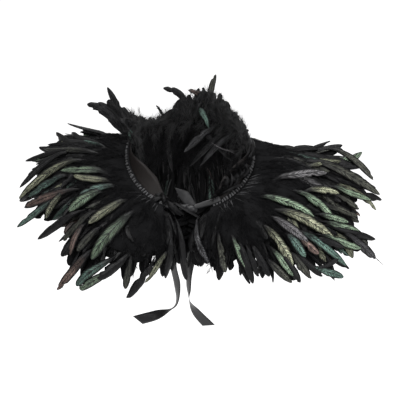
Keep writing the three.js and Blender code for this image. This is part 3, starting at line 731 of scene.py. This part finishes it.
def spill_feathers(spill, count):
    return *spill_lines(spill, count, VANE_SHARES, 20, 34), random_look(count, 0, 0.6)


# Strips: the band, the header and the ribbons
STRIP_ACROSS = np.array([-1, -0.6, 0, 0.6, 1, 1, 0.6, 0, -0.6, -1])
BAND_ANGLES = np.linspace(FRONT_OPENING, 360 - FRONT_OPENING, 200)
CUT_ROWS = 14


def strip(centre, across, through, half_width, thickness, crown=0.0):
    """A closed flat strip along a line, a little crowned across its width."""
    u = STRIP_ACROSS
    face = np.repeat([1, -1], len(u) // 2) * thickness / 2
    half_width = np.broadcast_to(half_width, len(centre))
    points = (centre[:, None] + across[:, None] * (u * half_width[:, None])[..., None]
              + through[:, None] * (face + crown * (1 - u**2))[:, None])
    return tubes(points[None])


def step_lengths(line):
    return np.linalg.norm(np.diff(line, axis=0), axis=1)


def strip_on_band(angle, outward, upward, *sizes):
    """A strip round the neck, with its middle so far out from the band and up its wall."""
    centre, _, wall, face = on_band(angle, outward, upward)
    return strip(centre, wall, face, *sizes)


def curve_through(knots, count):
    """Catmull-Rom points through rows of knots, at equal steps from knot to knot."""
    ends = np.concatenate([2 * knots[:1] - knots[1:2], knots, 2 * knots[-1:] - knots[-2:-1]])
    place = np.linspace(0, len(knots) - 1, count)
    i = np.minimum(place.astype(int), len(knots) - 2)
    t = (place - i)[:, None]
    p0, p1, p2, p3 = ends[i], ends[i + 1], ends[i + 2], ends[i + 3]
    square = (2 * p0 - 5 * p1 + 4 * p2 - p3) * t**2
    cube = (3 * p1 - p0 - 3 * p2 + p3) * t**3
    return 0.5 * (2 * p1 + (p2 - p0) * t + square + cube)


def ribbon(route, count=72, slant=0.0):
    """A ribbon along a route, with its length. Slant skews the last rows into a slanted cut end."""
    knots = np.stack([route["x"], route["y"], route["z"]], axis=1) * MM
    centre = curve_through(knots, count)
    turn = np.radians(curve_through(route["turn"][:, None], count)[:, 0])
    along = unit(np.gradient(centre, axis=0))
    across = turned(unit(np.cross([0.0, -1, 0], along)), along, turn)
    through = np.cross(along, across)
    points, faces, values = strip(centre, across, through, RIBBON_WIDTH / 2, RIBBON_THICKNESS, 0.3 * MM)
    cut = smooth(np.arange(count), count - CUT_ROWS, count - 1)[:, None]
    skew = slant * cut * STRIP_ACROSS * RIBBON_WIDTH / 2
    points = points + (along[:, None] * skew[..., None]).reshape(-1, 3)
    return (points, faces, values), step_lengths(centre).sum()


def satin_band():
    """The band, with its length round the neck and its area."""
    height = band_heights(BAND_ANGLES)
    ripple = 0.25 * MM * np.sin(np.radians(BAND_ANGLES * 23)) * smooth(np.abs(BAND_ANGLES - 180), 60, 150)
    out = BAND_WALL / 2 + ripple
    steps = step_lengths(on_band(BAND_ANGLES, out, height / 2)[0])
    area = (steps * (height[1:] + height[:-1]) / 2).sum()
    return strip_on_band(BAND_ANGLES, out, height / 2, height / 2, BAND_WALL * 0.8), steps.sum(), area


def header_strip():
    middle, half = (HEADER_TOP - HEADER_BELOW) / 2, (HEADER_TOP + HEADER_BELOW) / 2
    out = (BAND_WALL + HEADER_OUTER) / 2 - 0.2 * MM
    return strip_on_band(BAND_ANGLES, out, middle, half, HEADER_OUTER - BAND_WALL + 0.4 * MM)


def header_wraps():
    """The turns of thread round the bound quill ends, one short rounded bar each."""
    angle = np.arange(FRONT_OPENING + 1, 360 - FRONT_OPENING - 1, WRAP_STEP)
    count = len(angle)
    angle = angle + rng.normal(0, 0.15, count)
    station = np.array([-1, -0.8, 0, 0.8, 1])
    swell = np.array([0.35, 0.95, 1, 0.95, 0.35])[:, None]
    turn = np.radians(np.arange(6) * 60)
    lean = rng.normal(0.1, 0.15, (count, 1, 1, 1))
    middle = HEADER_TOP - WRAP_LENGTH / 2 + rng.normal(0.5, 0.5, count) * MM
    centre, along, wall, face = (v[:, None, None] for v in on_band(angle, HEADER_OUTER + 0.9 * MM, middle))
    half = WRAP_LENGTH / 2 * rng.uniform(0.8, 1.1, count)
    lengthwise = unit(wall + along * lean) * (station * half[:, None])[:, :, None, None]
    thick = rng.uniform(1.3, 1.8, (count, 1, 1)) * MM
    width, height = swell * np.cos(turn) * thick, 1.4 * swell * np.sin(turn) * thick
    return tubes(centre + lengthwise + along * width[..., None] + face * height[..., None])


def bare_quills():
    """Thin bare quill ends that stick out from under the header on both sides of the front."""
    angle = np.concatenate([np.linspace(26, 66, 26), np.linspace(312, 334, 9)]) + rng.normal(0, 0.8, 35)
    count = len(angle)
    root, *_ = on_band(angle, HEADER_OUTER + 1 * MM, -1 * MM)
    _, along, normal = CAPE_SURFACE.at(angle, np.full(count, 0.05))
    side = np.cross(normal, along)
    lift = normal * rng.uniform(0.5, 0.85, (count, 1))
    heading = unit(along + lift + side * rng.normal(0, 0.25, (count, 1)))
    return barbs(root, heading, -normal * 0.1, rng.uniform(24, 42, count) * MM, np.full(count, 0.5 * MM))


def lead(start, end, sag=0.0, count=24):
    """A ribbon lead on the header, which sags towards its start and is gathered at the knot."""
    gather = smooth(np.arange(count), count * 0.5, count - 1)
    up = 6 * MM - 2 * MM * gather - sag * (1 - gather)
    half = (4.4 - 0.8 * gather) * MM
    return strip_on_band(np.linspace(start, end, count), 7.4 * MM, up, half, 0.8 * MM, 0.4 * MM)


def knot_core():
    """The pressed bundle of ribbon inside the knot, with a crease between its turns."""
    rows, sides = 14, 24
    v = np.linspace(0.06, math.pi - 0.06, rows)[:, None]
    u = np.linspace(0, 2 * math.pi, sides, endpoint=False)
    crease = 1 - 0.1 * np.cos(3 * u + 2 * v) ** 2
    x, y = np.sin(v) * np.cos(u) * crease, np.sin(v) * np.sin(u) * crease
    ball = np.stack([x, y, -np.cos(v) + 0 * u], axis=-1)
    return tubes((KNOT_CENTRE + ball * KNOT_RADII * KNOT_PRESSED * MM)[None])


def knot_wrap():
    """The turn of ribbon that crosses over the front of the knot."""
    t = np.linspace(-0.35, math.pi + 0.35, 28)
    radii = KNOT_RADII * MM
    up, right, ahead = unit(np.array([(0.25, 0, 1), (1, 0, -0.25), (0, -1, 0)]))
    centre = (KNOT_CENTRE + right * (np.cos(t) * radii[0] * KNOT_WRAP_SHARE)[:, None]
              + ahead * (np.sin(t) * radii[1] * KNOT_WRAP_SHARE)[:, None])
    out = unit(centre - KNOT_CENTRE)
    across = np.repeat(up[None], len(t), axis=0)
    return strip(centre, across, out, (5.4 - 0.8 * np.abs(np.cos(t))) * MM, 0.8 * MM, 2.2 * MM)


# Materials
BARB_LINES = 19.0
RELIEF_DEPTH = 0.25 * MM


def feed(target, inputs):
    """Links each named input of a node to a socket, or sets it to a constant."""
    for key, value in inputs.items():
        if isinstance(value, bpy.types.NodeSocket):
            target.id_data.links.new(value, target.inputs[key])
        else:
            target.inputs[key].default_value = value


def node(tree, kind, inputs, **settings):
    """The outputs of a new node with these inputs and settings."""
    made = tree.nodes.new("ShaderNode" + kind)
    for key, value in settings.items():
        setattr(made, key, value)
    feed(made, inputs)
    return made.outputs


def maths(operation, *inputs):
    tree = next(x.id_data for x in inputs if isinstance(x, bpy.types.NodeSocket))
    return node(tree, "Math", dict(enumerate(inputs)), operation=operation)[0]


def times(a, b):
    return maths("MULTIPLY", a, b)


def plus(a, b):
    return maths("ADD", a, b)


def ramp_between(value, low, high):
    inputs = {0: value, "From Min": low, "From Max": high}
    return node(value.id_data, "MapRange", inputs, interpolation_type="SMOOTHSTEP")[0]


def vector_of(x, y, z):
    return node(x.id_data, "CombineXYZ", {0: x, 1: y, 2: z})[0]


def noise_of(vector, scale, detail=2.0):
    return node(vector.id_data, "TexNoise", {"Vector": vector, "Scale": scale, "Detail": detail})["Fac"]


def mixed(factor, a, b):
    return node(factor.id_data, "Mix", {"Factor": factor, "A": a, "B": b}, data_type="RGBA")["Result"]


def relief(height, strength):
    inputs = {"Height": height, "Strength": strength, "Distance": RELIEF_DEPTH}
    return node(height.id_data, "Bump", inputs)[0]


def material(name, roughness, specular):
    made = bpy.data.materials.new(name)
    made.use_nodes = True
    shader = made.node_tree.nodes["Principled BSDF"]
    feed(shader, {"Roughness": roughness, "Specular IOR Level": specular})
    return made, made.node_tree, shader


def barred(name, black, painted_sheen, roughness, specular):
    """Vanes with a dark shaft and edge, fine dark barb lines that slant to the tip, and a painted sheen:
    lighter grey streaks in the black.
    """
    made, tree, shader = material(name, roughness, specular)
    place = node(tree, "Attribute", {}, attribute_name="vane")["Vector"]
    tint = node(tree, "Attribute", {}, attribute_name="tint")["Color"]
    side, share, seed = node(tree, "SeparateXYZ", {0: place})
    across = maths("ABSOLUTE", side)
    slow = noise_of(vector_of(side, times(share, 4.0), seed), 1.6)
    fine = noise_of(vector_of(side, times(share, 9.0), seed), 3.0)
    chance = node(tree, "TexWhiteNoise", {"W": seed}, noise_dimensions="1D")[0]
    slant = times(across, plus(times(chance, 3.0), 1.0))
    barb = plus(maths("SUBTRACT", times(share, BARB_LINES), slant), times(slow, 2.0))
    lines = ramp_between(maths("SINE", times(barb, 2 * math.pi)), 0.0, 0.8)
    streak = noise_of(vector_of(times(barb, 0.7), across, seed), 2.2, 3.0)
    edge = ramp_between(plus(across, times(fine, 0.5)), 1.2, 0.62)
    shaft = ramp_between(across, 0.03, 0.11)
    base = ramp_between(plus(share, times(fine, 0.2)), 0.3, 0.72)
    bars = maths("SUBTRACT", 1.0, times(lines, times(fine, 2.2)))
    mask = times(times(times(edge, base), shaft), maths("MAXIMUM", bars, 0.12))
    mask = times(mask, ramp_between(streak, 0.28, 0.6))
    # Painted sheen: a lighter grey mixed into the black in streaks along the barbs stands in for
    # highlights.
    dark = mixed(ramp_between(streak, 0.45, 0.8), (*black, 1), (*painted_sheen, 1))
    # The tint is lighter and darker in noise patches: partly the feathers' uneven tone, partly painted
    # highlight.
    tone_and_highlight = plus(times(slow, 2.2), -0.1)
    tint_tone_and_highlight = node(tree, "VectorMath", {0: tint, "Scale": tone_and_highlight}, operation="SCALE")[0]
    turn = plus(times(fine, 0.16), 0.42)
    hue = node(tree, "HueSaturation", {"Color": tint_tone_and_highlight, "Hue": turn})[0]
    feed(shader, {"Base Color": mixed(mask, dark, hue), "Normal": relief(lines, 0.35)})
    return made


def mottled(name, dark, light, scale, roughness, specular):
    """A colour that varies a little over the surface, which is a little uneven too."""
    made, tree, shader = material(name, roughness, specular)
    noise = noise_of(node(tree, "TexCoord", {})["Object"], scale)
    feed(shader, {"Base Color": mixed(noise, (*dark, 1), (*light, 1)), "Normal": relief(noise, 0.3)})
    return made


MATERIALS = {
    # The second colour of each vane look is its painted sheen.
    "vane": barred("coque_vane", (0.004, 0.004, 0.0043), (0.023, 0.0225, 0.024), 0.36, 0.13),
    # A rougher copy of the vane look for the collar, with a lighter black and brighter painted sheen:
    # painted light.
    "soft_lit": barred("soft_black_vane", (0.006, 0.006, 0.0064), (0.036, 0.0355, 0.037), 0.5, 0.1),
    # A darker copy of the vane look, with less painted sheen and gloss, for the feathers inside the cape
    # and at the throat: painted shade.
    "shaded_lining": barred("lining_vane", (0.004, 0.004, 0.0043), (0.009, 0.0087, 0.009), 0.7, 0.03),
    "down": mottled("black_down", (0.007, 0.007, 0.0075), (0.015, 0.015, 0.016), 60, 0.95, 0.06),
    # A lighter copy of the black down for the down on the collar and tuft: painted light.
    "lit_fluff": mottled("collar_fluff", (0.022, 0.022, 0.0225), (0.056, 0.056, 0.057), 60, 0.9, 0.08),
    # A darker copy of the black down for the beds under the plumes and the down inside the cape and neck:
    # painted shade.
    "shaded_down": mottled("shaded_inner_down", (0.0045, 0.0045, 0.0049), (0.011, 0.011, 0.0116), 60, 0.95, 0.03),
    "satin": mottled("brown_black_satin", (0.009, 0.0075, 0.007), (0.014, 0.0115, 0.011), 300, 0.5, 0.15),
    "strip": mottled("dark_binding", (0.006, 0.006, 0.0065), (0.012, 0.012, 0.013), 500, 0.8, 0.1),
    "thread": mottled("grey_thread", (0.04, 0.04, 0.042), (0.11, 0.11, 0.114), 900, 0.55, 0.25),
    "ribbon": mottled("black_ribbon", (0.010, 0.010, 0.011), (0.018, 0.018, 0.019), 400, 0.38, 0.32),
}


def piece(name, replaced, look, *parts):
    """A piece that stands for a node."""
    made = mesh_object(name, *joined(parts))
    made.data.materials.append(MATERIALS[look])
    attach(made, "root")
    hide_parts(replaced)
    return made


# The pieces
placed, free = placed_feathers(), free_feathers()
rim_top = lining_feathers(94, 266, 44, 14, 56, 0.5, inward=0.75, up=1.5)
rim = lining_feathers(94, 266, 56, 34, 76, 0.5, inward=0.75, up=1.2)
shaded_lining = [lining_feathers(94, 266, 56, 50, 90, 0.45), lining_feathers(130, 230, 54, 100, 145, 0.1, 0.0)]
throat = []
for start, end, *sizes, lean, inward in THROAT:
    throat.append(lining_feathers(start, end, *sizes, -lean, inward))
    throat.append(lining_feathers(360 - end, 360 - start, *sizes, lean, inward))

plain, *coloured = [cape_layer(*row) for row in UNDER_LAYERS]
piece("inner_feathers", "under_fringe", "shaded_lining", many([plain]))
piece("under_feathers", "under_fringe", "vane", many(coloured))
piece("over_feathers", "over_fringe", "vane", many([cape_layer(*row) for row in OVER_LAYERS] + [placed]))
# The beds under the plumes are drawn in the darker copy of the down: painted shade.
piece("under_bed", "under_fringe", "shaded_down", cape_bed(*UNDER))
piece("over_bed", "over_fringe", "shaded_down", cape_bed(*OVER))
piece("under_down", "under_fringe", "down",
      cape_down(DOWN_RIGHT, 125, 50, *UNDER, -1), cape_down(235, DOWN_LEFT, 50, *UNDER, -1))
piece("shaded_inner_down", "under_fringe", "shaded_down", cape_down(122, 238, 140, *INNER, -1))
piece("right_down", "over_fringe", "down", cape_down(DOWN_RIGHT, 130, 270, *OVER, 1))
piece("left_down", "over_fringe", "down", cape_down(230, DOWN_LEFT, 270, *OVER, 1))
piece("back_down", "over_fringe", "down", cape_down(130, 230, 130, *OVER, 1))

collar_rows = [collar_layer(36, 0.92, 0.0), collar_layer(34, 0.82, 1.5), collar_layer(30, 0.7, 3.0)]
spilled = [spill_feathers(RIGHT_SPILL, 24), spill_feathers(LEFT_SPILL, 9)]
piece("collar_feathers", "collar_fringe", "soft_lit", many(collar_rows + [free] + spilled))
piece("throat_feathers", "collar_fringe", "shaded_lining", many(throat))
piece("collar_bed", "collar_fringe", "shaded_down", collar_bed())
piece("collar_down", "collar_fringe", "lit_fluff", collar_down(220), plume_of(rim_top, 50, 15 * MM),
      *(plume_of(row, 24, 12 * MM) for row in collar_rows))
piece("rim_down", "collar_fringe", "down", plume_of(rim, 50, 16 * MM))
piece("tuft_down", "collar_fringe", "lit_fluff", plume_of(free, FREE["down"].astype(int), 12 * MM))
piece("lining_down", "collar_fringe", "shaded_down", *(plume_of(row, 50, 18 * MM) for row in shaded_lining + throat),
      band_spill(RIGHT_SPILL, 110), band_spill(LEFT_SPILL, 30))

piece("header", "quill_header", "strip", header_strip())
piece("header_wraps", "quill_header", "thread", header_wraps())
piece("bare_quills", "quill_header", "thread", bare_quills())
band_mesh, band_length, band_area = satin_band()
band = piece("satin_band", "neck_band", "satin", band_mesh)
left_mesh, left_length = ribbon(LEFT_TAIL, slant=-0.7)
right_mesh, right_length = ribbon(RIGHT_TAIL, slant=0.7)
loop_mesh, _ = ribbon(THROAT_LOOP, count=30, slant=0.9)
left_tail = piece("left_tail", "ribbon_tail_left", "ribbon", left_mesh)
right_tail = piece("right_tail", "ribbon_tail_right", "ribbon", right_mesh)
leads = [lead(330, 359, 5 * MM), lead(31, 4)]
piece("knot", "ribbon_tie", "ribbon", knot_core(), knot_wrap(), *leads, loop_mesh)

# Floor, light and camera
FLOOR_DROP, FLOOR_HALF = 1.1, 30
WHITE = (1, 1, 1, 1)
VIEW_TARGET = np.array([15.5, 0, -94]) * MM
VIEW_DISTANCE, VIEW_WIDTH = 5.0, 0.62


def floor():
    corners = np.array([(-1, -1, 0), (1, -1, 0), (1, 1, 0), (-1, 1, 0)], float) * FLOOR_HALF
    corners[:, 2] = cad_low.z - FLOOR_DROP
    made = mesh_object("floor", corners, [np.array([[0, 1, 2, 3]])])
    paint, _, shader = material("pale_floor", 0.9, 0.0)
    feed(shader, {"Base Color": (0.92, 0.92, 0.92, 1), "Emission Color": WHITE, "Emission Strength": 0.7})
    made.data.materials.append(paint)
    made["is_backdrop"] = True


def softbox(name, place, size, power):
    light = bpy.data.lights.new(name, "AREA")
    light.shape, light.size, light.energy = "DISK", size, power
    made = add_object(name, light)
    made.location = place
    made.rotation_euler = (-made.location).to_track_quat("-Z", "Y").to_euler()


def camera():
    data = bpy.data.cameras.new("camera")
    data.lens = data.sensor_width * VIEW_DISTANCE / VIEW_WIDTH
    data.clip_end = 100
    made = add_object("camera", data)
    back = np.array([0, -VIEW_COS, VIEW_SIN])
    made.location = VIEW_TARGET + back * VIEW_DISTANCE
    made.rotation_euler = (math.pi / 2 - VIEW_ELEVATION, 0, 0)
    scene.camera = made


floor()
softbox("key", (-0.9, -1.6, 2.2), 1.6, 60)
softbox("fill", (1.6, -1.4, 1.2), 1.6, 30)
softbox("top", (0.2, 0.9, 2.4), 1.8, 50)
world = bpy.data.worlds.new("world")
world.use_nodes = True
feed(world.node_tree.nodes["Background"], {"Color": WHITE, "Strength": 0.32})
scene.world = world
scene.view_settings.view_transform = "Standard"
camera()

low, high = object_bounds()
sizes = {"cad": [list(cad_low), list(cad_high)], "visual": [list(low), list(high)]}
